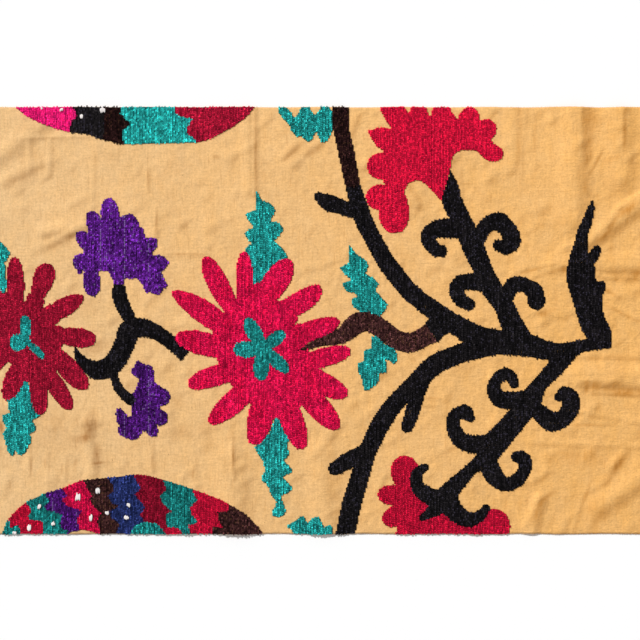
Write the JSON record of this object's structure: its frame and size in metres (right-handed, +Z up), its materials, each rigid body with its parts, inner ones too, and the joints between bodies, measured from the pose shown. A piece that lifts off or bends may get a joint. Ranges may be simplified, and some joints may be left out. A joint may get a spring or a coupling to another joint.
{
  "type": "suzani embroidered textile",
  "caption": "Flat cut length of cotton cloth with raised laid-thread flowers, leaves, a branching vine and ring medallions, in soft low folds.",
  "frame": {"origin": "under the middle of the cloth, at the height of the surface it lies on", "axes": "+X along the long side, +Y along the short side towards the upper edge, +Z up from the surface"},
  "size_m": [0.656, 0.427, 0.0056],
  "materials": {
    "ochre_cotton": "matt plain weave",
    "pink_thread": "soft silk sheen",
    "crimson_thread": "soft silk sheen",
    "burgundy_thread": "soft silk sheen",
    "magenta_thread": "soft silk sheen",
    "teal_thread": "soft silk sheen",
    "purple_thread": "soft silk sheen",
    "navy_thread": "soft silk sheen",
    "black_thread": "soft silk sheen",
    "brown_thread": "soft silk sheen"
  },
  "bodies": {
    "root": {"blade_leaf": "black_thread", "bottom_ring_brown_1": "brown_thread", "bottom_ring_brown_2": "brown_thread", "bottom_ring_burgundy": "burgundy_thread", "bottom_ring_inner_red": "crimson_thread", "bottom_ring_inner_teal": "teal_thread", "bottom_ring_navy": "navy_thread", "bottom_ring_pink": "pink_thread", "bottom_ring_purple": "purple_thread", "bottom_ring_red_1": "crimson_thread", "bottom_ring_red_2": "crimson_thread", "bottom_ring_teal_1": "teal_thread", "bottom_ring_teal_2": "teal_thread", "bottom_ring_teal_3": "teal_thread", "brown_stem": "brown_thread", "burgundy_flower": "burgundy_thread", "burgundy_flower_eye": "teal_thread", "ground_cloth": "ochre_cotton", "leaf_above_brown": "teal_thread", "leaf_above_burgundy": "teal_thread", "leaf_above_pink": "teal_thread", "leaf_at_bottom": "teal_thread", "leaf_at_top": "teal_thread", "leaf_below_brown": "teal_thread", "leaf_below_burgundy": "teal_thread", "leaf_below_pink": "teal_thread", "lower_palmette": "crimson_thread", "lower_side_stem": "black_thread", "main_vine": "black_thread", "pink_flower": "pink_thread", "pink_flower_eye": "teal_thread", "purple_bud": "purple_thread", "purple_palmette": "purple_thread", "small_stem": "black_thread", "top_ring_black": "black_thread", "top_ring_brown": "brown_thread", "top_ring_burgundy": "burgundy_thread", "top_ring_magenta": "magenta_thread", "top_ring_teal": "teal_thread", "upper_palmette": "crimson_thread", "upper_side_stem": "black_thread", "vine_upper": "brown_thread"}
  },
  "joints": []
}
